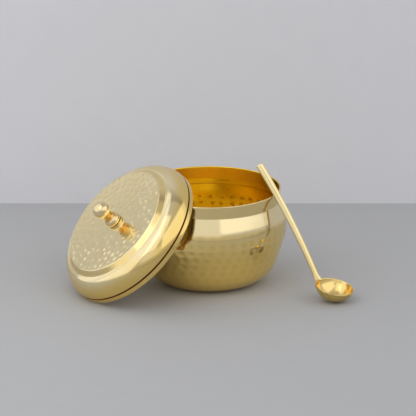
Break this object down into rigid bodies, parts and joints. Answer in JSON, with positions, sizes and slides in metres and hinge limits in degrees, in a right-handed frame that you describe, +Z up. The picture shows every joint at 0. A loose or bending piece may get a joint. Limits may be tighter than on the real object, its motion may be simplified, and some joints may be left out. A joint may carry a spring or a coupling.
{
  "type": "ghee pot",
  "caption": "Round-bellied hammered brass ghee pot with a short collar, its knobbed domed lid leaned on the rim and a round-bowled ladle spoon resting on it.",
  "frame": {"origin": "centre of the pot's flat base, on the surface it stands on", "axes": "+Z up along the pot's axis; +X to the right of the picture, the way from the lid to the spoon; +Y away from the viewer"},
  "size_m": [0.2104, 0.1421, 0.095],
  "materials": {
    "pot_brass": "polished shoulder and collar, hammered belly",
    "lid_brass": "polished band, hammered disc",
    "knob_brass": "polished",
    "fixing_brass": "as machined",
    "spoon_brass": "polished"
  },
  "bodies": {
    "pot": {"pot_body": "pot_brass"},
    "lid": {"lid_shell": "lid_brass", "lid_knob": "knob_brass", "knob_screw": "fixing_brass", "screw_washer": "fixing_brass"},
    "spoon": {"spoon_bowl": "spoon_brass", "spoon_handle": "spoon_brass"}
  },
  "joints": [
    {"name": "lid_lift", "type": "slide", "parent": "pot", "child": "lid", "axis": [-0.6505, -0.3444, 0.6769], "range_m": [0, 0.08]},
    {"name": "spoon_lift", "type": "slide", "parent": "pot", "child": "spoon", "axis": [0, 0, 1], "range_m": [0, 0.1]}
  ]
}
